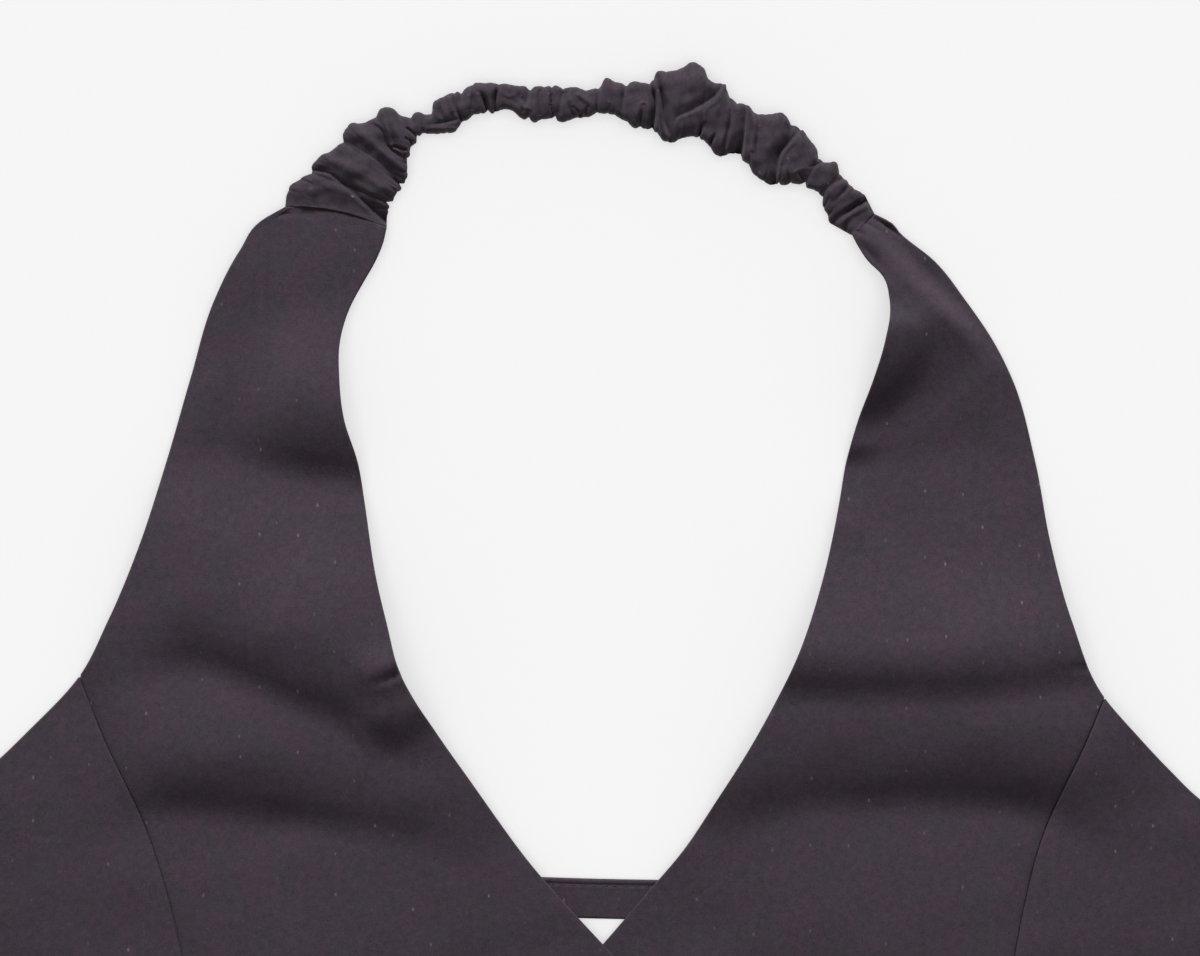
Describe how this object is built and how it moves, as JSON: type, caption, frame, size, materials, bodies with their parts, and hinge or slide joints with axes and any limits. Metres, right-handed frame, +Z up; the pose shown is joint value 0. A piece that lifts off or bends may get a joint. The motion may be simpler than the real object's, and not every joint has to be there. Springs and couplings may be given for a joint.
{
  "type": "halter neck top",
  "caption": "Tailored halter neck top lying flat: V neck fronts with princess seams and buttons, a ruched neck strap, a back strap and a low back panel.",
  "frame": {"origin": "middle of the garment's outline, on the surface that it lies on", "axes": "+X the wearer's left, +Y from the hem to the neck strap, +Z up out of the surface"},
  "size_m": [0.424, 0.4584, 0.0117],
  "materials": {
    "suiting": "matt aubergine-charcoal wool-blend suiting, fine twill with a faint melange",
    "ruched_suiting": "the same suiting gathered on elastic",
    "button": "dark polished resin"
  },
  "bodies": {
    "root": {"front_right": "suiting", "front_left": "suiting", "side_front_right": "suiting", "side_front_left": "suiting", "back_panel": "suiting", "back_strap": "suiting", "neck_strap": "ruched_suiting", "button_1": "button", "button_2": "button", "button_3": "button", "button_4": "button"}
  },
  "joints": []
}
